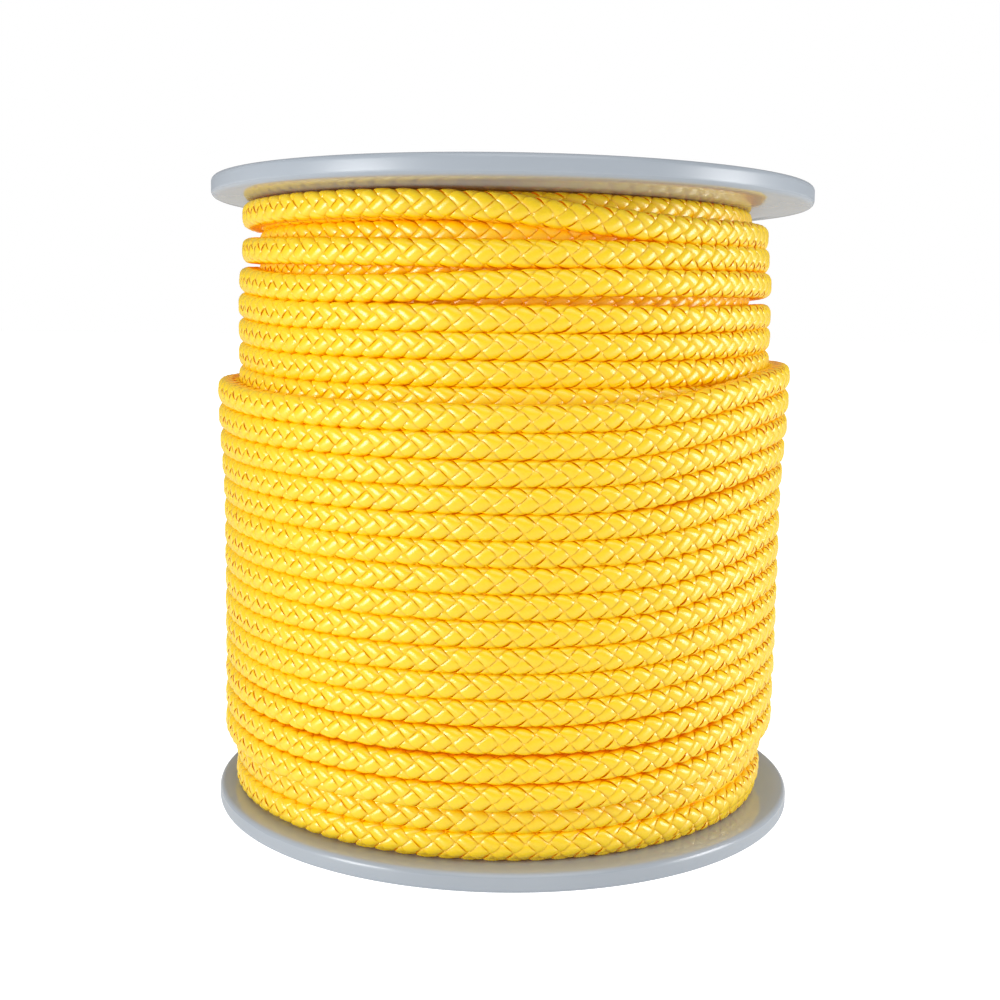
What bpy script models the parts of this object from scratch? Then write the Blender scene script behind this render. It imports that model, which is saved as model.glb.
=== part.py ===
"""Rope reel: two moulded flanges clamped on a barrel tube by four tie bolts, with braided rope wound on it.

Metres, +Z up. The reel's axis is Z and it stands on the lower flange, whose rim touches Z = 0.
"""

import math

import bmesh
import bpy
from mathutils import Matrix, Vector

MM = 0.001

# Driving dimensions, in millimetres
FLANGE_R = 100.0
OVERALL_H = 210.0
RIM_H = 5.6
RIM_W = 5.5
WEB_T = 2.6
RIM_CHAMFER = 1.2
BORE_R = 15.0
SLEEVE_R = 18.0
HUB_DEPTH = 13.6
SPIGOT_OUT_R = 31.7
SPIGOT_IN_R = 28.7
SPIGOT_TOP = 12.6
RING_RIB = (31.0, 33.2)
RIB_COUNT = 12
RIB_T = 1.8
RIB_SET_BACK = 0.5

BARREL_IN_R = 32.0
BARREL_OUT_R = 35.0
GAP = 0.3

BOLT_COUNT = 4
BOLT_CIRCLE_R = 23.5
BOSS_R = 7.4
POCKET_R = 5.7
POCKET_DEPTH = 7.6
BOLT_HOLE_R = 2.85
BOLT_R = 2.45
BOLT_HEAD_AF = 8.0
BOLT_HEAD_H = 3.6
NUT_AF = 8.0
NUT_H = 4.5
NUT_BORE_R = 2.8
WASHER_R = 5.0
WASHER_T = 1.0
SEAT_GAP = 0.2

ROPE_D = 8.0
FULL_LAYERS_R = 90.0
OUTER_LAYER_R = 96.5
OUTER_LAYER_TOP = 150.0

ROUND = 64


def clear_scene():
    for obj in list(bpy.data.objects):
        bpy.data.objects.remove(obj, do_unlink=True)


def material(name, colour, roughness, metallic=0.0):
    mat = bpy.data.materials.new(name)
    mat.use_nodes = True
    shader = mat.node_tree.nodes["Principled BSDF"]
    shader.inputs["Base Color"].default_value = (*colour, 1.0)
    shader.inputs["Roughness"].default_value = roughness
    shader.inputs["Metallic"].default_value = metallic
    mat.diffuse_color = (*colour, 1.0)
    return mat


def add(name, bm, mat=None, helper=False):
    mesh = bpy.data.meshes.new(name)
    bmesh.ops.recalc_face_normals(bm, faces=bm.faces)
    bm.to_mesh(mesh)
    bm.free()
    mesh.shade_smooth()
    mesh.set_sharp_from_angle(angle=math.radians(30))
    obj = bpy.data.objects.new(name, mesh)
    bpy.context.scene.collection.objects.link(obj)
    if mat:
        mesh.materials.append(mat)
    if helper:
        obj.hide_render = True
        obj.display_type = "WIRE"
    return obj


def turned(profile, segments=ROUND):
    """A closed profile of (radius, height) in millimetres, turned about Z into a ring."""
    bm = bmesh.new()
    rings = []
    for i in range(segments):
        a = 2 * math.pi * i / segments
        rings.append(
            [
                bm.verts.new((r * MM * math.cos(a), r * MM * math.sin(a), z * MM))
                for r, z in profile
            ]
        )
    count = len(profile)
    for i in range(segments):
        one, two = rings[i], rings[(i + 1) % segments]
        for j in range(count):
            k = (j + 1) % count
            bm.faces.new((one[j], one[k], two[k], two[j]))
    return bm


def prism(bm, sides, radius, z0, z1, centre=(0.0, 0.0), turn=0.0):
    """An upright prism with a regular polygon for its base, added to bm."""
    low, high = [], []
    for i in range(sides):
        a = 2 * math.pi * i / sides + turn
        x = (centre[0] + radius * math.cos(a)) * MM
        y = (centre[1] + radius * math.sin(a)) * MM
        low.append(bm.verts.new((x, y, z0 * MM)))
        high.append(bm.verts.new((x, y, z1 * MM)))
    bm.faces.new(low[::-1])
    bm.faces.new(high)
    for i in range(sides):
        j = (i + 1) % sides
        bm.faces.new((low[i], low[j], high[j], high[i]))


def bolt_places():
    for i in range(BOLT_COUNT):
        a = 2 * math.pi * i / BOLT_COUNT + math.pi / 4
        yield i + 1, BOLT_CIRCLE_R * math.cos(a), BOLT_CIRCLE_R * math.sin(a)


def at_bolts(sides, radius, z0, z1):
    bm = bmesh.new()
    for _, x, y in bolt_places():
        prism(bm, sides, radius, z0, z1, (x, y), math.pi / sides)
    return bm


def boolean(obj, other, operation):
    mod = obj.modifiers.new(other.name, "BOOLEAN")
    mod.operation = operation
    mod.object = other


def flange_profile():
    """The flange's section with its open, ribbed side down and its flat inner face up."""
    web = RIM_H - WEB_T
    c = RIM_CHAMFER
    return [
        (BORE_R, 0.6),
        (BORE_R + 0.6, 0.0),
        (SLEEVE_R, 0.0),
        (SLEEVE_R, web),
        (RING_RIB[0], web),
        (RING_RIB[0], RIB_SET_BACK),
        (RING_RIB[1], RIB_SET_BACK),
        (RING_RIB[1], web),
        (FLANGE_R - RIM_W, web),
        (FLANGE_R - RIM_W, 0.0),
        (FLANGE_R - c, 0.0),
        (FLANGE_R - 0.3 * c, 0.35 * c),
        (FLANGE_R, c),
        (FLANGE_R, RIM_H - c),
        (FLANGE_R - 0.3 * c, RIM_H - 0.35 * c),
        (FLANGE_R - c, RIM_H),
        (SPIGOT_OUT_R, RIM_H),
        (SPIGOT_OUT_R, SPIGOT_TOP),
        (SPIGOT_IN_R, SPIGOT_TOP),
        (SPIGOT_IN_R, RIM_H),
        (SLEEVE_R, RIM_H),
        (SLEEVE_R, HUB_DEPTH),
        (BORE_R, HUB_DEPTH),
    ]


def radial_ribs():
    """Straight ribs on the open side, from inside the ring rib out into the rim."""
    bm = bmesh.new()
    inner, outer = RING_RIB[0] + 1.0, FLANGE_R - RIM_W + 1.5
    low, high = RIB_SET_BACK + 0.3, RIM_H - WEB_T + 1.0
    for i in range(RIB_COUNT):
        a = 2 * math.pi * (i + 0.5) / RIB_COUNT
        made = bmesh.ops.create_cube(bm, size=1.0)["verts"]
        size = Vector((outer - inner, RIB_T, high - low)) * MM
        place = (
            Matrix.Rotation(a, 4, "Z")
            @ Matrix.Translation(
                Vector(((inner + outer) / 2, 0.0, (low + high) / 2)) * MM
            )
            @ Matrix.Diagonal((*size, 1.0))
        )
        bmesh.ops.transform(bm, matrix=place, verts=made)
    return bm


def make_flanges(mat):
    lower = add("lower_flange", turned(flange_profile()), mat)
    helpers = [
        (add("guide_ribs", radial_ribs(), helper=True), "UNION"),
        (
            add("guide_bosses", at_bolts(16, BOSS_R, 0.0, HUB_DEPTH - 0.4), helper=True),
            "UNION",
        ),
        (
            add("cut_pockets", at_bolts(16, POCKET_R, -2.0, POCKET_DEPTH), helper=True),
            "DIFFERENCE",
        ),
        (
            add("cut_bolt_holes", at_bolts(12, BOLT_HOLE_R, -2.0, 20.0), helper=True),
            "DIFFERENCE",
        ),
    ]
    for helper, operation in helpers:
        boolean(lower, helper, operation)
    bpy.context.view_layer.update()
    graph = bpy.context.evaluated_depsgraph_get()
    finished = bpy.data.meshes.new_from_object(lower.evaluated_get(graph))
    finished.name = "flange"
    upper = bpy.data.objects.new("upper_flange", finished)
    bpy.context.scene.collection.objects.link(upper)
    # The same moulding turned over about X, so that its flat face looks down.
    upper.rotation_euler = (math.pi, 0.0, 0.0)
    upper.location = (0.0, 0.0, OVERALL_H * MM)
    return lower, upper


def make_barrel(mat):
    z0, z1 = RIM_H + GAP, OVERALL_H - RIM_H - GAP
    return add(
        "barrel_tube",
        turned(
            [
                (BARREL_OUT_R, z1),
                (BARREL_OUT_R, z0),
                (BARREL_IN_R, z0),
                (BARREL_IN_R, z1),
            ]
        ),
        mat,
    )


def ring_solid(sides, out_r, in_r, z0, z1, turn=0.0, in_sides=16):
    """A ring with a polygonal outside, such as a nut or a washer, about Z."""
    bm = bmesh.new()
    per = in_sides
    outside, inside = [], []
    for i in range(per):
        a = 2 * math.pi * i / per
        # the polygon's radius in this direction
        b = (a - turn) % (2 * math.pi / sides) - math.pi / sides
        r = out_r * math.cos(math.pi / sides) / math.cos(b) if sides < per else out_r
        outside.append((r * math.cos(a), r * math.sin(a)))
        inside.append((in_r * math.cos(a), in_r * math.sin(a)))
    rows = []
    for ring, z in ((inside, z0), (outside, z0), (outside, z1), (inside, z1)):
        rows.append([bm.verts.new((x * MM, y * MM, z * MM)) for x, y in ring])
    for one, two in zip(rows, rows[1:] + rows[:1]):
        for i in range(per):
            j = (i + 1) % per
            bm.faces.new((one[i], one[j], two[j], two[i]))
    return bm


def tie_bolt(z_seat, z_end):
    """A hex head on a plain round shank, hanging down from z_seat."""
    bm = bmesh.new()
    sides = 12
    head_r = BOLT_HEAD_AF / 2 / math.cos(math.pi / 6)
    shank, neck, rim_low, rim_high, crown = [], [], [], [], []
    for i in range(sides):
        a = 2 * math.pi * i / sides
        b = a % (math.pi / 3) - math.pi / 6
        r = head_r * math.cos(math.pi / 6) / math.cos(b)
        c, s = math.cos(a) * MM, math.sin(a) * MM
        shank.append(bm.verts.new((BOLT_R * c, BOLT_R * s, z_end * MM)))
        neck.append(bm.verts.new((BOLT_R * c, BOLT_R * s, z_seat * MM)))
        rim_low.append(bm.verts.new((r * c, r * s, z_seat * MM)))
        top = z_seat + BOLT_HEAD_H
        rim_high.append(bm.verts.new((r * c, r * s, (top - 0.5) * MM)))
        crown.append(bm.verts.new((0.86 * r * c, 0.86 * r * s, top * MM)))
    bm.faces.new(shank[::-1])
    bm.faces.new(crown)
    rows = [shank, neck, rim_low, rim_high, crown]
    for one, two in zip(rows, rows[1:]):
        for i in range(sides):
            j = (i + 1) % sides
            bm.faces.new((one[i], one[j], two[j], two[i]))
    return bm


def make_fasteners(steel, zinc):
    """Tie bolts with their heads in the upper flange's pockets and their nuts in the lower flange's."""
    top_seat = OVERALL_H - POCKET_DEPTH + SEAT_GAP
    low_seat = POCKET_DEPTH - SEAT_GAP
    head_seat = top_seat + WASHER_T + SEAT_GAP
    nut_top = low_seat - WASHER_T - SEAT_GAP
    nut_low = nut_top - NUT_H
    nut_r = NUT_AF / 2 / math.cos(math.pi / 6)
    for number, x, y in bolt_places():
        at = (x * MM, y * MM, 0.0)
        pieces = [
            add(f"tie_bolt_{number}", tie_bolt(head_seat, nut_low - 0.8), steel),
            add(
                f"head_washer_{number}",
                ring_solid(16, WASHER_R, NUT_BORE_R, top_seat, top_seat + WASHER_T, in_sides=16),
                zinc,
            ),
            add(
                f"tie_nut_{number}",
                ring_solid(6, nut_r, NUT_BORE_R, nut_low, nut_top, in_sides=12),
                steel,
            ),
            add(
                f"nut_washer_{number}",
                ring_solid(16, WASHER_R, NUT_BORE_R, low_seat - WASHER_T, low_seat, in_sides=16),
                zinc,
            ),
        ]
        for piece in pieces:
            piece.location = at


def make_rope(mat):
    """The wound rope's outer shape: the full layers, and the outer layer that stops short of the upper flange."""
    low, high = RIM_H + GAP, OVERALL_H - RIM_H - GAP
    half = ROPE_D / 2
    inner_r = BARREL_OUT_R + GAP
    full = FULL_LAYERS_R
    add(
        "rope_full_layers",
        turned(
            [
                (full - half, high),
                (full - 1.0, high - half),
                (full, high - ROPE_D),
                (full, low),
                (inner_r, low),
                (inner_r, high),
            ]
        ),
        mat,
    )
    outer, top = OUTER_LAYER_R, OUTER_LAYER_TOP
    add(
        "rope_outer_layer",
        turned(
            [
                (full + half, top),
                (outer - 0.6, top - 1.5),
                (outer, top - half),
                (outer, low + 2 * ROPE_D),
                (outer - 3.0, low + ROPE_D),
                (outer - 3.4, low),
                (full + GAP, low),
                (full + GAP, top),
            ]
        ),
        mat,
    )


def main():
    clear_scene()
    grey = material("grey_plastic", (0.40, 0.44, 0.49), 0.38)
    tube = material("barrel_plastic", (0.32, 0.35, 0.39), 0.5)
    steel = material("zinc_steel", (0.62, 0.62, 0.60), 0.32, 1.0)
    zinc = material("washer_steel", (0.58, 0.58, 0.57), 0.36, 1.0)
    rope = material("yellow_rope", (0.90, 0.55, 0.01), 0.42)
    make_flanges(grey)
    make_barrel(tube)
    make_fasteners(steel, zinc)
    make_rope(rope)


main()
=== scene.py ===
"""Looks of the rope reel: braided rope laid turn by turn on a grey plastic two-flange reel."""

import math

import bmesh
import bpy
import numpy as np
from mathutils import Matrix, Vector


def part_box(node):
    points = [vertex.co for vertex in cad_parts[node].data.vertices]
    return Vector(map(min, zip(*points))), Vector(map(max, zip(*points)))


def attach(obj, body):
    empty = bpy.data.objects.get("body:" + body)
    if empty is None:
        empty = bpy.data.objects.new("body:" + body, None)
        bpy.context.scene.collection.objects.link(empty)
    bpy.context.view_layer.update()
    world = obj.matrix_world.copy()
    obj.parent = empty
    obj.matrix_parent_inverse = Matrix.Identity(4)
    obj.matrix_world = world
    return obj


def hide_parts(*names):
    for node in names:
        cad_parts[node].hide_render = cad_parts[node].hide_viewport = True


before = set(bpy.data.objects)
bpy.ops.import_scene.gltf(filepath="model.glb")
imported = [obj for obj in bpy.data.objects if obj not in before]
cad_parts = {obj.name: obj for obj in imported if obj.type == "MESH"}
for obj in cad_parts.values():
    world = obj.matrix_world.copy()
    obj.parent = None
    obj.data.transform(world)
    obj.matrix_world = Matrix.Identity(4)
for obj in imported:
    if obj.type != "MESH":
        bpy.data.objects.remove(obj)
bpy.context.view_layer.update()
MM = 0.001

# ---------------------------------------------------------------- reel sizes, from the frame
LOWER_BOX, UPPER_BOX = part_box("lower_flange"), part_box("upper_flange")
FLANGE_R = (UPPER_BOX[1][0] - UPPER_BOX[0][0]) / 2 / MM
HEIGHT = UPPER_BOX[1][2] / MM
RIM_H = 5.6
ROPE_R = 4.0
BARREL_R = (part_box("barrel_tube")[1][0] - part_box("barrel_tube")[0][0]) / 2 / MM


# ---------------------------------------------------------------- camera
def make_camera():
    """At the flanges' mid height and a little over, looking slightly down, with the small roll of the picture."""
    pitch, roll, pan = 0.12897, 0.01253, -0.00461
    place = Vector((0.0, -4.89373, 1.66206)) * FLANGE_R * MM
    ahead = Vector(
        (
            math.sin(pan) * math.cos(pitch),
            math.cos(pan) * math.cos(pitch),
            -math.sin(pitch),
        )
    )
    level = Vector((math.cos(pan), -math.sin(pan), 0.0))
    above = level.cross(ahead)
    right = math.cos(roll) * level + math.sin(roll) * above
    up = -math.sin(roll) * level + math.cos(roll) * above
    data = bpy.data.cameras.new("camera")
    data.sensor_width = 36.0
    data.lens = 1400.97 * 36.0 / 1000.0
    data.clip_start = 0.01
    cam = bpy.data.objects.new("camera", data)
    m = Matrix((right, up, -ahead)).transposed().to_4x4()
    m.translation = place
    cam.matrix_world = m
    bpy.context.scene.collection.objects.link(cam)
    bpy.context.scene.camera = cam


make_camera()


# ---------------------------------------------------------------- the rope's route
# Heights and radii are in millimetres, of the rope's centreline. One turn runs from front to
# front, and the rope always runs the same way round: left to right across the front.
LOW, HIGH = RIM_H + ROPE_R + 0.1, HEIGHT - RIM_H - ROPE_R - 2.2


def ease(x, a, b):
    t = np.clip((np.asarray(x, float) - a) / (b - a), 0.0, 1.0)
    return t * t * (3 - 2 * t)


def smooth(values, sigma):
    """Gaussian smoothing of evenly spaced values, with the ends held."""
    n = int(math.ceil(4 * sigma))
    k = np.exp(-0.5 * (np.arange(-n, n + 1) / sigma) ** 2)
    k /= k.sum()
    padded = np.concatenate([np.full(n, values[0]), values, np.full(n, values[-1])])
    return np.convolve(padded, k, "valid")


STEPS = 360  # samples a turn


def outer_layer():
    """The outer layer: seventeen turns up from the lower flange. Each turn is level across the left and
    the front, and climbs to the next one's height across the right."""
    turns = np.arange(17)
    front = 11.0 + 7.8 * turns + 2.3 * ease(turns, 2, 5)
    left = front + np.where(turns < 1, -1.0, np.where(turns < 2, 0.4, 2.3)) + 0.6 * np.clip(turns - 14, 0, 2)
    rise = np.where(turns < 1, 2.8, np.where(turns < 2, 5.0, 6.3)) + 0.4 * np.clip(turns - 6, 0, 10)
    shape = (
        (0.0, 0.0), (0.050, 0.01), (0.083, 0.10), (0.111, 0.32), (0.139, 0.56), (0.172, 0.83), (0.222, 1.0),
    )
    t, z = [], []
    for j in turns:
        t += [j - 0.222, j - 0.160, j - 0.097]
        z += [left[j], front[j] + 0.35 * (left[j] - front[j]), front[j] + 0.03 * (left[j] - front[j])]
        late = -0.010 * (j > 12)
        for dt, share in shape:
            t.append(j + dt + (late if 0.06 < dt < 0.2 else 0.0))
            z.append(front[j] + share * rise[j])
        if j < 16:
            a, b = front[j] + rise[j], left[j + 1]
            t += [j + 0.40, j + 0.60]
            z += [a + 0.30 * (b - a), a + 0.72 * (b - a)]
    end = 16.60
    t += [end]
    z += [front[16] + rise[16] + 0.6]
    at = np.arange(-0.222, end, 1.0 / STEPS)
    height = smooth(np.interp(at, t, z), 5.0)
    radius = 88.4 + 3.5 * ease(at, 1.15, 1.75) + 1.6 * ease(at, 11.0, 15.5)
    return at, np.maximum(height, LOW), radius


def full_layer():
    """The last full layer, from the upper flange down. Its first turns are uneven and leave gaps."""
    rows = (
        # left, three across the front, right of the middle, near right, right
        (198.9, 198.9, 198.8, 197.4, 194.2, 192.4, 193.6),
        (187.6, 185.7, 184.7, 184.4, 184.7, 184.9, 186.4),
        (178.2, 174.4, 174.5, 176.0, 176.8, 177.1, 178.2),
        (169.8, 166.6, 166.2, 165.9, 166.3, 166.4, 168.0),
    )
    t, z = [], []
    for k, row in enumerate(rows):
        for dt, value in zip((-0.222, -0.13, -0.056, 0.0, 0.047, 0.103, 0.222), row):
            t.append(k + dt)
            z.append(value)
    low_turns = 20
    for k in range(4, 4 + low_turns):
        front = 158.3 - 7.86 * (k - 4)
        back = 2.6 * ease(front, 10, 60)
        for dt, value in (
            (-0.222, front + 3.3 * ease(front, 10, 60)),
            (-0.14, front + 0.6),
            (-0.056, front + 0.1),
            (0.0, front),
            (0.10, front),
            (0.150, front + 0.3 * back),
            (0.222, front + back),
        ):
            t.append(k + dt)
            z.append(value)
    end = 4 + low_turns - 0.3
    at = np.arange(-0.222, end, 1.0 / STEPS)
    height = smooth(np.interp(at, t, z), 6.0)
    radius = 86.5 - 1.6 * (1 - ease(at, 0.2, 2.6))
    return at, np.clip(height, LOW, HIGH + 0.8), radius


def under_layer():
    """The layer under it, up to the upper flange, where its last turn lies flat against the flange."""
    fronts = [198.5, 190.0, 180.9, 172.0] + [164.0 - 7.9 * i for i in range(20)]
    fronts = np.array(fronts[::-1])
    n = len(fronts)
    t, z = [], []
    for j, front in enumerate(fronts):
        nxt = fronts[j + 1] if j < n - 1 else front
        t += [j - 0.20, j, j + 0.12, j + 0.30, j + 0.62]
        z += [
            front + 0.2,
            front,
            front,
            front + 0.45 * (nxt - front),
            front + 0.85 * (nxt - front),
        ]
    at = np.arange(-0.222, n - 0.5, 1.0 / STEPS)
    height = smooth(np.interp(at, t, z), 8.0)
    return at, np.clip(height, LOW, HIGH), np.full(len(at), 79.3)


def plain_layer(radius, up, turns=24.4):
    at = np.arange(0.0, turns, 1.0 / 36)
    z = LOW + (HIGH - LOW) * at / turns
    if not up:
        z = z[::-1]
    return at, z, np.full(len(at), radius)


def squash_radius(theta, z, r):
    """The winding is a little fuller on the left than on the right."""
    share = ease(r, 60.0, 78.0)
    return r - share * (1.5 + 0.4 * (1 - ease(z, 20, 70))) * np.cos(theta)


def points_of(turn, z, r):
    """World points, in metres, of turns counted from the front."""
    theta = 2 * math.pi * turn - math.pi / 2
    rr = squash_radius(theta, z, r)
    return np.stack([rr * np.cos(theta), rr * np.sin(theta), z], axis=1) * MM


def join(one, two, turn_gap, samples):
    """A smooth bridge between the end of one layer and the start of the next."""
    t = (np.arange(samples) + 1) / (samples + 1)
    s = t * t * (3 - 2 * t)
    return (
        one[0] + t * turn_gap,
        one[1] + s * (two[1] - one[1]),
        one[2] + s * (two[2] - one[2]),
    )


def build_route():
    """The rope's whole centreline as a list of (turn, height, radius, seen) arrays joined end to end."""
    layers = []
    inner_r = [BARREL_R + ROPE_R + 0.1 + 6.75 * i for i in range(6)]
    for i, radius in enumerate(inner_r):
        t, h, rr = plain_layer(radius, i % 2 == 0)
        layers.append([t, h, rr, np.zeros(len(t))])
    t, h, rr = under_layer()
    layers.append([t, h, rr, (h > 160.0).astype(float)])
    t, h, rr = full_layer()
    layers.append([t, h, rr, (h > 131.0).astype(float)])
    t, h, rr = outer_layer()
    layers.append([t, h, rr, np.ones(len(t))])
    whole = None
    for layer in layers:
        if whole is None:
            whole = layer
            continue
        end_turn = whole[0][-1]
        start = layer[0][0]
        # the bridge is the least part of a turn, over 0.12, that brings the rope to the layer's start
        gap = (start - end_turn) % 1.0
        if gap < 0.12:
            gap += 1.0
        shift = end_turn + gap - start
        dense = 1.0 / STEPS if layer[3].any() or whole[3][-1] else 1.0 / 36
        n = max(3, int(gap / dense))
        bt, bz, br = join(
            (whole[0][-1], whole[1][-1], whole[2][-1]),
            (None, layer[1][0], layer[2][0]),
            gap,
            n,
        )
        # the climb on to the last layer is the lowest turn at the back
        seen = 1.0 if (whole[3][-1] and layer[3][0]) else 0.0
        if layer is layers[-1]:
            seen = 2.0
        whole = [
            np.concatenate([whole[0], bt, layer[0] + shift]),
            np.concatenate([whole[1], bz, layer[1]]),
            np.concatenate([whole[2], br, layer[2]]),
            np.concatenate([whole[3], np.full(n, seen), layer[3]]),
        ]
    return whole


# ---------------------------------------------------------------- rope meshes
def frames_along(points):
    """Distance along, tangent, outward and sideways directions at each point of a centreline."""
    step = np.linalg.norm(np.diff(points, axis=0), axis=1)
    along = np.concatenate([[0.0], np.cumsum(step)])
    tangent = np.gradient(points, axis=0)
    tangent /= np.linalg.norm(tangent, axis=1)[:, None]
    out = points * np.array([1.0, 1.0, 0.0])
    out -= (out * tangent).sum(1)[:, None] * tangent
    out /= np.linalg.norm(out, axis=1)[:, None]
    side = np.cross(tangent, out)
    return along, tangent, out, side


def at_lengths(s, along, *arrays):
    return [
        np.stack([np.interp(s, along, a[:, k]) for k in range(3)], axis=-1)
        for a in arrays
    ]


def mesh_object(name, verts, quads, uvs=None, smooth_shade=True):
    mesh = bpy.data.meshes.new(name)
    mesh.vertices.add(len(verts))
    mesh.vertices.foreach_set("co", np.asarray(verts, np.float32).ravel())
    quads = np.asarray(quads, np.int32)
    mesh.loops.add(quads.size)
    mesh.loops.foreach_set("vertex_index", quads.ravel())
    mesh.polygons.add(len(quads))
    mesh.polygons.foreach_set("loop_start", np.arange(len(quads), dtype=np.int32) * quads.shape[1])
    mesh.polygons.foreach_set("loop_total", np.full(len(quads), quads.shape[1], np.int32))
    if uvs is not None:
        layer = mesh.uv_layers.new(name="yarn")
        layer.data.foreach_set("uv", np.asarray(uvs, np.float32)[quads.ravel()].ravel())
    mesh.update(calc_edges=True)
    mesh.validate()
    if smooth_shade:
        mesh.shade_smooth()
    obj = bpy.data.objects.new(name, mesh)
    bpy.context.scene.collection.objects.link(obj)
    return obj


def tube(points, radius, sides, out, side, squeeze=1.0):
    """Rings of a tube on the given frames, as vertices and quads, with flat caps left open."""
    a = 2 * math.pi * np.arange(sides) / sides
    ring = np.cos(a)[None, :, None] * out[:, None, :] + squeeze * np.sin(a)[None, :, None] * side[:, None, :]
    verts = points[:, None, :] + radius * ring
    n = len(points)
    i = np.arange(n - 1)[:, None] * sides
    j = np.arange(sides)[None, :]
    k = (j + 1) % sides
    quads = np.stack([i + j, i + k, i + sides + k, i + sides + j], axis=-1).reshape(-1, 4)
    return verts.reshape(-1, 3), quads


COLUMNS = 8  # columns of floats round the rope, eight yarns in all
WIDE = 1.03  # width over depth of the pressed rope
REACH = 0.80  # how far each float runs from its middle, in pitches, its ends going under the next yarns
BEND_AT, BEND_R = 0.10 * MM, 4.50 * MM  # where a yarn starts to turn down from a crossing's middle, and how sharply
PITCH = 6.65 * MM  # distance between the floats of one column, along the rope


def patch_grid(fine):
    """Where a float's vertices lie along it (T) and across it (Q), each from -1 to 1."""
    if fine:
        t = (-0.84, -0.68, -0.56, -0.43, -0.29, -0.10, 0.10, 0.29, 0.43, 0.56, 0.68, 0.84)
        q = (-1.0, -0.88, -0.60, 0.0, 0.60, 0.88, 1.0)
    else:
        t, q = (-0.92, -0.55, 0.0, 0.55, 0.92), (-1.0, 0.0, 1.0)
    T, Q = np.meshgrid(np.array(t), np.array(q), indexing="ij")
    return T.ravel()[None, :], Q.ravel()[None, :], len(t), len(q)


def braid(whole, start, stop, rng):
    """The cover of the rope between two lengths along it: eight wide yarns, four of each hand, plainly woven.

    Each crossing shows one yarn as a domed patch. Its ends turn down under the yarns on either side,
    and all the crossings of one column show yarns of the same hand.
    """
    along, points, out, side = whole
    k = np.arange(math.floor(start / PITCH) - 1, math.ceil(stop / PITCH) + 2)
    kk, cc = np.meshgrid(k, np.arange(COLUMNS), indexing="ij")
    kk, cc = kk.ravel().astype(float), cc.ravel()
    s_mid = (kk + 0.5 * (cc % 2)) * PITCH
    keep = (s_mid >= start) & (s_mid < stop)
    cc, s_mid = cc[keep], s_mid[keep]
    wobble = rng.normal(0, 1, (len(cc), 6))
    step_a = 2 * math.pi / COLUMNS
    r0 = ROPE_R * MM
    run = np.array([PITCH / 2, r0 * step_a])
    run = run / np.linalg.norm(run)

    def twist_at(s):
        return 0.30 + 0.10 * np.sin(s * 2 * math.pi / 1.37) + 0.12 * np.sin(s * 2 * math.pi / 3.9 + 1.0)

    # the side that lies on the layer below is never seen, so it is made coarser
    outward = np.cos(step_a * cc + twist_at(s_mid)) > -0.30
    verts, quads, uvs, painted_shades = [], [], [], []
    count = 0
    for fine in (True, False):
        pick = outward if fine else ~outward
        if not pick.any():
            continue
        T, Q, nt, nq = patch_grid(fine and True)
        hand = np.where(cc[pick] % 2 == 1, -1.0, 1.0)[:, None]
        lift, wide, lean, slip, du, dv = wobble[pick].T[..., None]
        w = 2.36 * MM * (1.0 + 0.02 * wide) * (1.0 - 0.05 * np.abs(T) ** 2)
        s = s_mid[pick][:, None] + REACH * PITCH / 2 * T - run[1] * Q * w
        a = step_a * (cc[pick][:, None] + 0.02 * slip) + hand * (
            REACH * step_a * T * (1.0 + 0.03 * lean) + run[0] * Q * w / r0
        )
        dome = 0.26 * MM * (1.0 - np.sqrt(1.0 - 0.98 * np.abs(Q) ** 4.0)) + 0.02 * MM * Q**2
        over = np.clip(np.abs(T) * REACH * PITCH / 2 / run[0] - BEND_AT, 0.0, None)
        dive = np.where(
            over < 0.85 * BEND_R,
            BEND_R - np.sqrt(BEND_R**2 - np.minimum(over, 0.85 * BEND_R) ** 2),
            0.473 * BEND_R + 1.61 * (over - 0.85 * BEND_R),
        )
        rho = r0 + 0.12 * MM + 0.04 * MM * lift - dome - dive
        a = a + twist_at(s)
        P, N, B = at_lengths(s, along, points, out, side)
        ca, sa = np.cos(a), np.sin(a)
        # pressed on by its neighbours, the rope is a little square and a little wide
        full = (np.abs(ca) ** 3.0 + np.abs(sa) ** 3.0) ** (-1 / 3.0)
        xyz = P + (rho * full)[..., None] * (ca[..., None] * N + WIDE * sa[..., None] * B)
        n = len(xyz)
        base = count + (np.arange(n) * nt * nq)[:, None, None]
        v = base + np.arange(nt - 1)[None, :, None] * nq + np.arange(nq - 1)[None, None, :]
        faces = np.stack([v, v + nq, v + nq + 1, v + 1], axis=-1)
        faces[hand[:, 0] < 0] = faces[hand[:, 0] < 0][..., ::-1]
        # distances along and across each yarn, in centimetres, each float set off by its own amount
        u = T * REACH * PITCH / 2 / run[0] * 100 + 3.7 * du
        v = Q * w * 100 + 5.3 * dv
        verts.append(xyz.reshape(-1, 3))
        quads.append(faces.reshape(-1, 4))
        uvs.append(np.stack([u + 0 * v, v], axis=-1).reshape(-1, 2))
        # painted shade: how deep each point lies under the crossings, and how near it lies to the next turn, so the
        # colour can be painted orange there
        sunk_shade = 0.6 * np.clip((dome + dive) / (0.8 * MM), 0.0, 1.0) ** 2
        painted_shades.append(np.maximum(sunk_shade, np.clip((np.abs(sa) - 0.84) / 0.16, 0.0, 1.0)).ravel())
        count += n * nt * nq
    return np.concatenate(verts), np.concatenate(quads), np.concatenate(uvs), np.concatenate(painted_shades)


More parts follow.
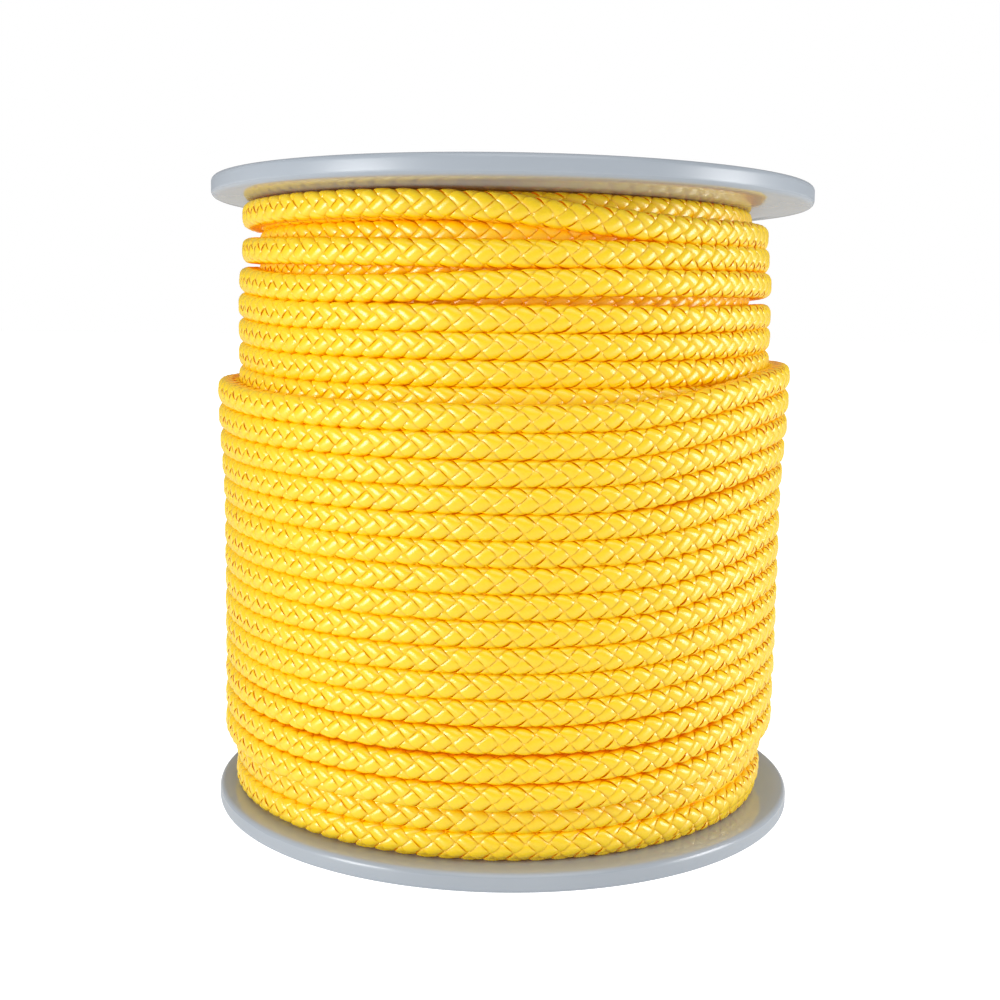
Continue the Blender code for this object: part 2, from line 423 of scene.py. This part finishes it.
def rope_material():
    mat = bpy.data.materials.new("yellow_braid")
    mat.use_nodes = True
    nt = mat.node_tree
    shader = nt.nodes["Principled BSDF"]
    shader.inputs["Roughness"].default_value = 0.27
    shader.inputs["IOR"].default_value = 1.5
    shader.inputs["Specular IOR Level"].default_value = 1.0
    uv = nt.nodes.new("ShaderNodeUVMap")
    uv.uv_map = "yarn"
    # the yarns are combed filaments, so they shine in lines across themselves
    combed = nt.nodes.new("ShaderNodeTangent")
    combed.direction_type = "UV_MAP"
    combed.uv_map = "yarn"
    nt.links.new(combed.outputs["Tangent"], shader.inputs["Tangent"])
    # painted light: a faint orange glow on the whole rope, though it is no lamp, lifts the shade in the gaps between
    # the yarns to orange
    shader.inputs["Emission Color"].default_value = (1.0, 0.38, 0.0, 1)
    shader.inputs["Emission Strength"].default_value = 0.06
    shader.inputs["Anisotropic"].default_value = 0.85
    shader.inputs["Anisotropic Rotation"].default_value = 0.25
    stretch = nt.nodes.new("ShaderNodeMapping")
    stretch.inputs["Scale"].default_value = (1.6, 26.0, 1.0)
    nt.links.new(uv.outputs["UV"], stretch.inputs["Vector"])
    fibre = nt.nodes.new("ShaderNodeTexNoise")
    fibre.inputs["Scale"].default_value = 3.0
    fibre.inputs["Detail"].default_value = 3.0
    nt.links.new(stretch.outputs["Vector"], fibre.inputs["Vector"])
    ramp = nt.nodes.new("ShaderNodeValToRGB")
    ramp.color_ramp.elements[0].position = 0.32
    ramp.color_ramp.elements[0].color = (0.93, 0.62, 0.0, 1)
    ramp.color_ramp.elements[1].position = 0.68
    ramp.color_ramp.elements[1].color = (0.95, 0.70, 0.001, 1)
    nt.links.new(fibre.outputs["Fac"], ramp.inputs["Fac"])
    # painted shade: the yellow is painted orange where the yarns go down under the crossings and where the rope meets
    # the next turn, standing in for the shade there
    painted_shade = nt.nodes.new("ShaderNodeAttribute")
    painted_shade.attribute_name = "painted_shade"
    painted_shade_tint = nt.nodes.new("ShaderNodeMixRGB")
    painted_shade_tint.inputs["Color2"].default_value = (0.99, 0.50, 0.0, 1)
    nt.links.new(painted_shade.outputs["Fac"], painted_shade_tint.inputs["Fac"])
    nt.links.new(ramp.outputs["Color"], painted_shade_tint.inputs["Color1"])
    nt.links.new(painted_shade_tint.outputs["Color"], shader.inputs["Base Color"])
    bump = nt.nodes.new("ShaderNodeBump")
    bump.inputs["Strength"].default_value = 0.32
    bump.inputs["Distance"].default_value = 0.00012
    nt.links.new(fibre.outputs["Fac"], bump.inputs["Height"])
    nt.links.new(bump.outputs["Normal"], shader.inputs["Normal"])
    return mat


ROPE_MAT = rope_material()


def make_rope():
    turn, z, r, seen = build_route()
    pts = points_of(turn, z, r)
    along, _, out_all, side_all = frames_along(pts)
    whole = (along, pts, out_all, side_all)
    marks = np.flatnonzero(np.diff(seen)) + 1
    edges = [0, *marks.tolist(), len(pts)]
    stretches = []
    for a, b in zip(edges, edges[1:]):
        kind = bool(seen[a])
        length = along[min(b, len(pts) - 1)] - along[a]
        most = 1.7 if kind else 40.0
        pieces = max(1, math.ceil(length / most))
        cuts = [a + round((b - a) * i / pieces) for i in range(pieces + 1)]
        for lo, hi in zip(cuts, cuts[1:]):
            stretches.append((lo, min(hi, len(pts) - 1), kind))
    total = along[-1]
    print("ROPE total length", round(total, 3), "stretches", len(stretches))
    rng = np.random.default_rng(7)
    made = []
    for number, (lo, hi, kind) in enumerate(stretches, 1):
        name = f"rope_stretch_{number:02d}"
        part = pts[lo : hi + 1]
        length = along[hi] - along[lo]
        if kind:
            verts, quads, uv, painted_shade = braid(whole, along[lo], along[hi], rng)
            n = max(8, int(length / 0.0035))
            s = np.linspace(along[lo], along[hi], n)
            cp, co, cs = at_lengths(s, along, pts, out_all, side_all)
            tv, tq = tube(cp, 3.42 * MM, 12, co, cs, WIDE)
            quads = np.concatenate([quads, tq + len(verts)])
            uv = np.concatenate([uv, np.zeros((len(tv), 2))])
            verts = np.concatenate([verts, tv])
            obj = mesh_object(name, verts, quads, uv)
            # painted shade: each yarn point carries its painted shade, and the core tube under the yarns is painted
            # fully orange as shade
            depth = obj.data.attributes.new("painted_shade", "FLOAT", "POINT")
            depth.data.foreach_set("value", np.concatenate([painted_shade, np.ones(len(tv))]).astype(np.float32))
        else:
            al, _, out, side = frames_along(part)
            n = max(8, int(length / 0.018))
            s = np.linspace(0, al[-1], n)
            cp, co, cs = at_lengths(s, al, part, out, side)
            tv, tq = tube(cp, 3.75 * MM, 8, co, cs)
            obj = mesh_object(name, tv, tq, np.zeros((len(tv), 2)))
        obj.data.materials.append(ROPE_MAT)
        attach(obj, "root")
        made.append((obj, length, kind))
        print(name, "seen" if kind else "hidden", round(length, 3), "m", len(obj.data.polygons) * 2, "triangles")
    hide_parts("rope_full_layers")
    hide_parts("rope_outer_layer")
    return made


ROPES = make_rope()


# ---------------------------------------------------------------- plastic and metal
def noise(nt, vector, scale, detail=3.0):
    node = nt.nodes.new("ShaderNodeTexNoise")
    node.inputs["Scale"].default_value = scale
    node.inputs["Detail"].default_value = detail
    nt.links.new(vector, node.inputs["Vector"])
    return node.outputs["Fac"]


def ramp_between(nt, factor, low, high, start=0.3, stop=0.7):
    node = nt.nodes.new("ShaderNodeValToRGB")
    node.color_ramp.elements[0].position = start
    node.color_ramp.elements[0].color = (*low, 1)
    node.color_ramp.elements[1].position = stop
    node.color_ramp.elements[1].color = (*high, 1)
    nt.links.new(factor, node.inputs["Fac"])
    return node.outputs["Color"]


def spread(nt, factor, low, high):
    node = nt.nodes.new("ShaderNodeMapRange")
    node.inputs["To Min"].default_value = low
    node.inputs["To Max"].default_value = high
    nt.links.new(factor, node.inputs["Value"])
    return node.outputs["Result"]


def bumped(nt, shader, height, strength, distance):
    node = nt.nodes.new("ShaderNodeBump")
    node.inputs["Strength"].default_value = strength
    node.inputs["Distance"].default_value = distance
    nt.links.new(height, node.inputs["Height"])
    nt.links.new(node.outputs["Normal"], shader.inputs["Normal"])


def plastic(name, low, high, roughness, rim):
    """A satin moulding: faint clouding of the colour, a rim that is duller than the flats, and a fine grain."""
    mat = bpy.data.materials.new(name)
    mat.use_nodes = True
    nt = mat.node_tree
    shader = nt.nodes["Principled BSDF"]
    shader.inputs["IOR"].default_value = 1.55
    where = nt.nodes.new("ShaderNodeTexCoord").outputs["Object"]
    cloud = noise(nt, where, 18.0, 4.0)
    nt.links.new(ramp_between(nt, cloud, low, high), shader.inputs["Base Color"])
    axes = nt.nodes.new("ShaderNodeSeparateXYZ")
    nt.links.new(nt.nodes.new("ShaderNodeTexCoord").outputs["Normal"], axes.inputs["Vector"])
    level = nt.nodes.new("ShaderNodeMath")
    level.operation = "ABSOLUTE"
    nt.links.new(axes.outputs["Z"], level.inputs[0])
    uneven = nt.nodes.new("ShaderNodeMath")
    uneven.operation = "MULTIPLY_ADD"
    nt.links.new(noise(nt, where, 60.0), uneven.inputs[0])
    uneven.inputs[1].default_value = 0.12
    nt.links.new(spread(nt, level.outputs["Value"], rim - 0.06, roughness - 0.06), uneven.inputs[2])
    nt.links.new(uneven.outputs["Value"], shader.inputs["Roughness"])
    bumped(nt, shader, noise(nt, where, 1100.0, 2.0), 0.04, 0.00006)
    return mat


def steel(name, colour, roughness, lines):
    """Zinc-plated steel, with turning marks round each piece's own axis left as fine noise."""
    mat = bpy.data.materials.new(name)
    mat.use_nodes = True
    nt = mat.node_tree
    shader = nt.nodes["Principled BSDF"]
    shader.inputs["Metallic"].default_value = 1.0
    where = nt.nodes.new("ShaderNodeTexCoord").outputs["Object"]
    stretch = nt.nodes.new("ShaderNodeMapping")
    stretch.inputs["Scale"].default_value = (1.0, 1.0, lines)
    nt.links.new(where, stretch.inputs["Vector"])
    mottle = noise(nt, where, 260.0, 4.0)
    dark = tuple(0.82 * c for c in colour)
    nt.links.new(ramp_between(nt, mottle, dark, colour), shader.inputs["Base Color"])
    nt.links.new(spread(nt, mottle, roughness - 0.08, roughness + 0.12), shader.inputs["Roughness"])
    bumped(nt, shader, noise(nt, stretch.outputs["Vector"], 900.0, 2.0), 0.15, 0.00004)
    return mat


GREY = plastic("grey_moulding", (0.375, 0.418, 0.470), (0.405, 0.447, 0.498), 0.10, 0.36)
TUBE = plastic("barrel_moulding", (0.30, 0.33, 0.37), (0.34, 0.37, 0.41), 0.45, 0.45)
BOLT = steel("plated_bolt", (0.66, 0.65, 0.62), 0.30, 6.0)
WASHER = steel("plated_washer", (0.60, 0.60, 0.60), 0.36, 1.0)


def rounded(corners, step_deg=15.0):
    """A closed profile of (r, z, fillet radius) corners with each corner rounded."""
    out = []
    n = len(corners)
    for i, (r, z, f) in enumerate(corners):
        p = np.array((r, z))
        a = np.array(corners[i - 1][:2]) - p
        b = np.array(corners[(i + 1) % n][:2]) - p
        la, lb = np.linalg.norm(a), np.linalg.norm(b)
        a, b = a / la, b / lb
        if f <= 0:
            out.append(tuple(p))
            continue
        angle = math.acos(np.clip(a @ b, -1, 1))
        cut = min(f / math.tan(angle / 2), 0.45 * la, 0.45 * lb)
        f = cut * math.tan(angle / 2)
        centre = p + (a + b) / np.linalg.norm(a + b) * f / math.sin(angle / 2)
        start, stop = p + a * cut - centre, p + b * cut - centre
        t0 = math.atan2(start[1], start[0])
        swing = (math.atan2(stop[1], stop[0]) - t0 + math.pi) % (2 * math.pi) - math.pi
        count = max(2, math.ceil(abs(math.degrees(swing)) / step_deg))
        for k in range(count + 1):
            t = t0 + swing * k / count
            out.append((centre[0] + f * math.cos(t), centre[1] + f * math.sin(t)))
    return out


def subdivided(profile, longest):
    """The same closed profile with its long runs cut into shorter ones."""
    out = []
    for (r0, z0), (r1, z1) in zip(profile, profile[1:] + profile[:1]):
        n = max(1, math.ceil(math.hypot(r1 - r0, z1 - z0) / longest))
        out += [(r0 + (r1 - r0) * k / n, z0 + (z1 - z0) * k / n) for k in range(n)]
    return out


def lathe(profile, segments, centre=(0.0, 0.0), closed=True):
    """Vertices and quads of a profile of (radius, height) turned about an upright axis."""
    a = 2 * math.pi * np.arange(segments) / segments
    p = np.array(profile, float)
    x = centre[0] + p[None, :, 0] * np.cos(a)[:, None]
    y = centre[1] + p[None, :, 0] * np.sin(a)[:, None]
    z = np.broadcast_to(p[None, :, 1], x.shape)
    verts = np.stack([x, y, z], axis=-1).reshape(-1, 3) * MM
    m = len(profile)
    i = np.arange(segments)[:, None]
    j = np.arange(m if closed else m - 1)[None, :]
    k = (j + 1) % m
    n = (i + 1) % segments
    quads = np.stack([i * m + j, i * m + k, n * m + k, n * m + j], axis=-1).reshape(-1, 4)
    return verts, quads


def solid_from(name, verts, quads):
    """A closed body from vertices and quads, its normals made to face out."""
    obj = mesh_object(name, verts, quads, smooth_shade=False)
    bm = bmesh.new()
    bm.from_mesh(obj.data)
    bmesh.ops.remove_doubles(bm, verts=bm.verts, dist=1e-7)
    bmesh.ops.recalc_face_normals(bm, faces=bm.faces)
    bm.to_mesh(obj.data)
    bm.free()
    return obj


def gather(name, parts):
    verts, quads, count = [], [], 0
    for v, q in parts:
        verts.append(v)
        quads.append(q + count)
        count += len(v)
    return solid_from(name, np.concatenate(verts), np.concatenate(quads))


def capped(profile, segments, centre):
    """A turned solid whose profile starts and ends on the axis."""
    return lathe(profile, segments, centre, closed=False)


BORE_R, SLEEVE_R, HUB_DEPTH = 15.0, 18.0, 13.6
WEB_Z, SPIGOT = RIM_H - 2.6, (28.7, 31.7, 12.6)
BOLTS = [
    (23.5 * math.cos(math.pi / 4 + k * math.pi / 2), 23.5 * math.sin(math.pi / 4 + k * math.pi / 2))
    for k in range(4)
]


def rib_solid():
    """Twelve straight ribs, thinner at their free edge, with that edge rounded."""
    parts = []
    r0, r1, z_low, z_high = 32.0, FLANGE_R - 4.0, 0.8, WEB_Z + 1.0
    for i in range(12):
        a = 2 * math.pi * (i + 0.5) / 12
        ring = []
        for half, z in ((0.95, z_high), (0.78, z_low + 0.35), (0.60, z_low + 0.08), (0.35, z_low)):
            ring.append((half, z))
        section = [(-h, z) for h, z in ring] + [(h, z) for h, z in reversed(ring)]
        verts = []
        for r in (r0, r1):
            for w, z in section:
                verts.append((r * math.cos(a) - w * math.sin(a), r * math.sin(a) + w * math.cos(a), z))
        verts = np.array(verts) * MM
        n = len(section)
        quads = [(j, (j + 1) % n, n + (j + 1) % n, n + j) for j in range(n)]
        for o in (0, n):
            quads += [(o + j, o + j + 1, o + n - 2 - j, o + n - 1 - j) for j in range(n // 2 - 1)]
        parts.append((verts, np.array(quads)))
    return gather("guide_ribs", parts)


def finished_mesh(obj, helpers):
    for other, operation in helpers:
        mod = obj.modifiers.new(other.name, "BOOLEAN")
        mod.operation = operation
        mod.object = other
    bpy.context.view_layer.update()
    graph = bpy.context.evaluated_depsgraph_get()
    mesh = bpy.data.meshes.new_from_object(obj.evaluated_get(graph))
    obj.modifiers.clear()
    for other, _ in helpers:
        bpy.data.objects.remove(other, do_unlink=True)
    return mesh


def rise_rope_side(mesh):
    """Makes the rim's rope edge a little higher than the disc, as moulded rims are."""
    for vertex in mesh.vertices:
        r = math.hypot(vertex.co.x, vertex.co.y) / MM
        vertex.co.z += 0.4 * MM * ease(r, 90.0, 96.5) * min(max((vertex.co.z / MM - 2.8) / 2.8, 0.0), 1.0)


def make_flanges():
    corners = [
        (BORE_R, 0.0, 0.7), (SLEEVE_R, 0.0, 0.5), (SLEEVE_R, WEB_Z, 0.9),
        (31.0, WEB_Z, 0.7), (31.0, 0.5, 0.35), (33.2, 0.5, 0.35), (33.2, WEB_Z, 0.9),
        (FLANGE_R - 5.5, WEB_Z, 1.2), (FLANGE_R - 5.5, 0.0, 0.6),
        (FLANGE_R, 0.0, 1.5), (FLANGE_R, RIM_H, 1.7),
        (SPIGOT[1], RIM_H, 0.5), (SPIGOT[1], SPIGOT[2], 0.6), (SPIGOT[0], SPIGOT[2], 0.5), (SPIGOT[0], RIM_H, 0.5),
        (SLEEVE_R, RIM_H, 0.6), (SLEEVE_R, HUB_DEPTH, 0.5), (BORE_R, HUB_DEPTH, 0.5),
    ]
    profile = subdivided(rounded(corners), 3.0)
    segments = 256
    body = solid_from("lower_flange_moulding", *lathe(profile, segments))
    boss = [(0, 0), (6.9, 0), (7.4, 0.5), (7.4, 12.7), (7.25, 13.05), (6.9, 13.2), (0, 13.2)]
    pocket = [(0, -2), (6.1, -2), (6.1, 0.0), (5.7, 0.45), (5.7, 7.6), (0, 7.6)]
    hole = [(0, -3), (2.85, -3), (2.85, 20), (0, 20)]
    helpers = [
        (rib_solid(), "UNION"),
        (gather("guide_bosses", [capped(boss, 48, c) for c in BOLTS]), "UNION"),
        (gather("cut_pockets", [capped(pocket, 40, c) for c in BOLTS]), "DIFFERENCE"),
        (gather("cut_holes", [capped(hole, 24, c) for c in BOLTS]), "DIFFERENCE"),
    ]
    mesh = finished_mesh(body, helpers)
    bpy.data.objects.remove(body, do_unlink=True)
    lower = bpy.data.objects.new("lower_flange_moulding", mesh)
    rise_rope_side(mesh)
    # the same moulding turned over about X. Its rope side stands proud of its rim, with a slope between
    # them; its hub is square on the barrel, and its disc is warped a little.
    other = mesh.copy()
    points = np.empty(len(other.vertices) * 3)
    other.vertices.foreach_get("co", points)
    points = points.reshape(-1, 3)
    r = np.hypot(points[:, 0], points[:, 1]) / MM
    proud = np.interp(r, (31.9, 36.0, 70.0, 79.0, 86.0, 96.0, 98.6), (0.0, 2.3, 2.3, 2.2, 1.75, 0.42, 0.0))
    points[:, 2] += proud * MM * (points[:, 2] > (RIM_H - 0.3) * MM) * (r > 31.9)
    points[:, 2] -= 0.4 * MM * np.array([ease(a, 90.0, 95.0) for a in r]) * np.clip(1 - points[:, 2] / (2.8 * MM), 0, 1)
    points *= (1.0, -1.0, -1.0)
    warp = (
        Matrix.Translation((0.00717 * FLANGE_R * MM, -0.00402 * FLANGE_R * MM, (HEIGHT + 0.09) * MM))
        @ Matrix.Rotation(0.00511, 4, "Y")
        @ Matrix.Rotation(-0.00515, 4, "X")
        @ Matrix.Diagonal((1.01094, 1.01094, 1.0, 1.0))
    )
    m = np.array(warp)
    warped = points @ m[:3, :3].T + m[:3, 3]
    square = points + (0, 0, HEIGHT * MM)
    w = ease(np.hypot(points[:, 0], points[:, 1]) / MM, 40.0, 85.0)[:, None]
    other.vertices.foreach_set("co", (square + (warped - square) * w).ravel())
    upper = bpy.data.objects.new("upper_flange_moulding", other)
    for obj, node in ((lower, "lower_flange"), (upper, "upper_flange")):
        obj.data.shade_smooth()
        obj.data.set_sharp_from_angle(angle=math.radians(34))
        obj.data.materials.clear()
        obj.data.materials.append(GREY)
        bpy.context.scene.collection.objects.link(obj)
        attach(obj, "root")
        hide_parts(node)
    return lower, upper


make_flanges()


# ---------------------------------------------------------------- fasteners
def hex_radius(a, across):
    b = (a + math.pi / 6) % (math.pi / 3) - math.pi / 6
    return across / 2 / math.cos(b)


def hexagon(rows, across, centre, n=48):
    """Stacked rings of a hexagon. Each row is (height, widest radius, narrowest is the hexagon)."""
    verts = []
    for z, limit in rows:
        for i in range(n):
            a = 2 * math.pi * i / n
            r = min(hex_radius(a, across), limit)
            verts.append((centre[0] + r * math.cos(a), centre[1] + r * math.sin(a), z))
    verts = np.array(verts) * MM
    i = np.arange(len(rows) - 1)[:, None] * n
    j = np.arange(n)[None, :]
    k = (j + 1) % n
    return verts, np.stack([i + j, i + k, i + n + k, i + n + j], axis=-1).reshape(-1, 4)


def threaded(z0, z1, radius, pitch, depth, centre, n=24):
    """A shank whose surface carries a screw thread."""
    rows = int((z1 - z0) / pitch * 6)
    z = np.linspace(z0, z1, rows)
    a = 2 * math.pi * np.arange(n) / n
    phase = (z[:, None] / pitch - a[None, :] / (2 * math.pi)) % 1.0
    r = radius - depth * np.abs(2 * phase - 1)
    r[0] -= depth
    x = centre[0] + r * np.cos(a)
    y = centre[1] + r * np.sin(a)
    verts = np.stack([x, y, np.broadcast_to(z[:, None], x.shape)], axis=-1).reshape(-1, 3) * MM
    i = np.arange(rows - 1)[:, None] * n
    j = np.arange(n)[None, :]
    k = (j + 1) % n
    return verts, np.stack([i + j, i + k, i + n + k, i + n + j], axis=-1).reshape(-1, 4)


def disc(z, radius, centre, n, hole=0.0):
    """A flat ring or disc closed by rings of quads towards its middle."""
    a = 2 * math.pi * np.arange(n) / n
    rings = np.linspace(radius, max(hole, 0.02), 4)
    x = centre[0] + rings[:, None] * np.cos(a)
    y = centre[1] + rings[:, None] * np.sin(a)
    verts = np.stack([x, y, np.full_like(x, z)], axis=-1).reshape(-1, 3) * MM
    i = np.arange(3)[:, None] * n
    j = np.arange(n)[None, :]
    k = (j + 1) % n
    return verts, np.stack([i + j, i + k, i + n + k, i + n + j], axis=-1).reshape(-1, 4)


def finish_piece(obj, node, mat):
    obj.data.shade_smooth()
    obj.data.set_sharp_from_angle(angle=math.radians(34))
    obj.data.materials.append(mat)
    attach(obj, "root")
    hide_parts(node)


def make_fasteners():
    head_seat, nut_low, nut_top = 203.8, 1.7, 6.2
    for number, c in enumerate(BOLTS, 1):
        crown = [(head_seat, 3.75), (head_seat + 0.25, 4.7), (head_seat + 2.9, 4.7), (head_seat + 3.3, 4.1), (head_seat + 3.6, 3.6)]
        head = hexagon(crown, 8.0, c)
        top = disc(head_seat + 3.6, 3.6, c, 48)
        under = disc(head_seat, 3.75, c, 48, 2.4)
        shank = threaded(0.9, 16.9, 2.45, 0.8, 0.28, c)
        plain = lathe([(2.45, 16.8), (2.45, head_seat)], 24, c, closed=False)
        end = disc(0.9, 1.90, c, 24)
        obj = gather(f"bolt_{number}", [head, top, under, shank, plain, end])
        finish_piece(obj, f"tie_bolt_{number}", BOLT)
        rows = [(nut_low, 3.7), (nut_low + 0.35, 4.7), (nut_top - 0.35, 4.7), (nut_top, 3.7)]
        nut = gather(
            f"nut_{number}",
            [
                hexagon(rows, 8.0, c),
                disc(nut_low, 3.7, c, 48, 2.75),
                disc(nut_top, 3.7, c, 48, 2.75),
                lathe([(2.75, nut_low), (2.5, nut_low + 0.25), (2.5, nut_top - 0.25), (2.75, nut_top)], 48, c, closed=False),
            ],
        )
        finish_piece(nut, f"tie_nut_{number}", BOLT)
        for piece, node, z0 in (
            (f"washer_top_{number}", f"head_washer_{number}", 202.6),
            (f"washer_low_{number}", f"nut_washer_{number}", 6.4),
        ):
            section = rounded([(2.8, z0, 0.12), (5.0, z0, 0.3), (5.0, z0 + 1.0, 0.3), (2.8, z0 + 1.0, 0.12)], 30.0)
            ring = gather(piece, [lathe(section, 48, c)])
            finish_piece(ring, node, WASHER)


make_fasteners()

barrel = bpy.data.objects["barrel_tube"]
barrel.data.materials.clear()
barrel.data.materials.append(TUBE)


# ---------------------------------------------------------------- floor and light
def white_to_camera(tree, socket, others, seen):
    """Light sources that are seen as white, and give the reel less light than that."""
    paths = tree.nodes.new("ShaderNodeLightPath")
    share = tree.nodes.new("ShaderNodeMapRange")
    share.inputs["To Min"].default_value = others
    share.inputs["To Max"].default_value = seen
    tree.links.new(paths.outputs["Is Camera Ray"], share.inputs["Value"])
    tree.links.new(share.outputs["Result"], socket)


def make_floor():
    bm = bmesh.new()
    bmesh.ops.create_circle(bm, cap_ends=True, radius=12.0, segments=96)
    mesh = bpy.data.meshes.new("floor")
    bm.to_mesh(mesh)
    bm.free()
    obj = bpy.data.objects.new("floor", mesh)
    bpy.context.scene.collection.objects.link(obj)
    mat = bpy.data.materials.new("floor")
    mat.use_nodes = True
    shader = mat.node_tree.nodes["Principled BSDF"]
    shader.inputs["Base Color"].default_value = (0.4, 0.4, 0.4, 1)
    shader.inputs["Roughness"].default_value = 0.8
    shader.inputs["Specular IOR Level"].default_value = 0.2
    # a light table: it is white by its own light, so the reel throws hardly any shadow on it
    shader.inputs["Emission Color"].default_value = (1, 1, 1, 1)
    white_to_camera(mat.node_tree, shader.inputs["Emission Strength"], 0.5, 1.15)
    mesh.materials.append(mat)
    return obj


def area_light(name, place, target, size, power, colour=(1, 1, 1)):
    data = bpy.data.lights.new(name, "AREA")
    data.shape = "RECTANGLE"
    data.size, data.size_y = size
    data.energy = power
    data.color = colour
    obj = bpy.data.objects.new(name, data)
    obj.location = place
    obj.rotation_euler = (Vector(target) - Vector(place)).to_track_quat("-Z", "Y").to_euler()
    bpy.context.scene.collection.objects.link(obj)
    return obj


make_floor()
def softbox(name, azimuth, elevation, distance, size, radiance):
    """A square light that faces the reel. The azimuth is from the camera's side, to the right."""
    az, el = math.radians(azimuth), math.radians(elevation)
    place = Vector((math.sin(az) * math.cos(el), -math.cos(az) * math.cos(el), math.sin(el))) * distance
    place.z += 0.1
    return area_light(name, place, (0, 0, 0.1), size, radiance * math.pi * size[0] * size[1])


softbox("left", -53, 6, 1.1, (0.34, 0.42), 14.5)
softbox("right", 79, 6, 1.1, (0.45, 0.5), 9.6)
softbox("top", 0, 84, 1.5, (1.4, 1.4), 0.6)
softbox("front", 10, 50, 1.7, (1.5, 0.9), 1.6)

world = bpy.data.worlds.new("studio")
bpy.context.scene.world = world
world.use_nodes = True
sky = world.node_tree.nodes["Background"]
sky.inputs["Color"].default_value = (1, 1, 1, 1)
white_to_camera(world.node_tree, sky.inputs["Strength"], 0.28, 1.0)
bpy.context.scene.view_settings.view_transform = "Standard"
bpy.context.scene.cycles.diffuse_bounces = 8

bpy.context.view_layer.update()
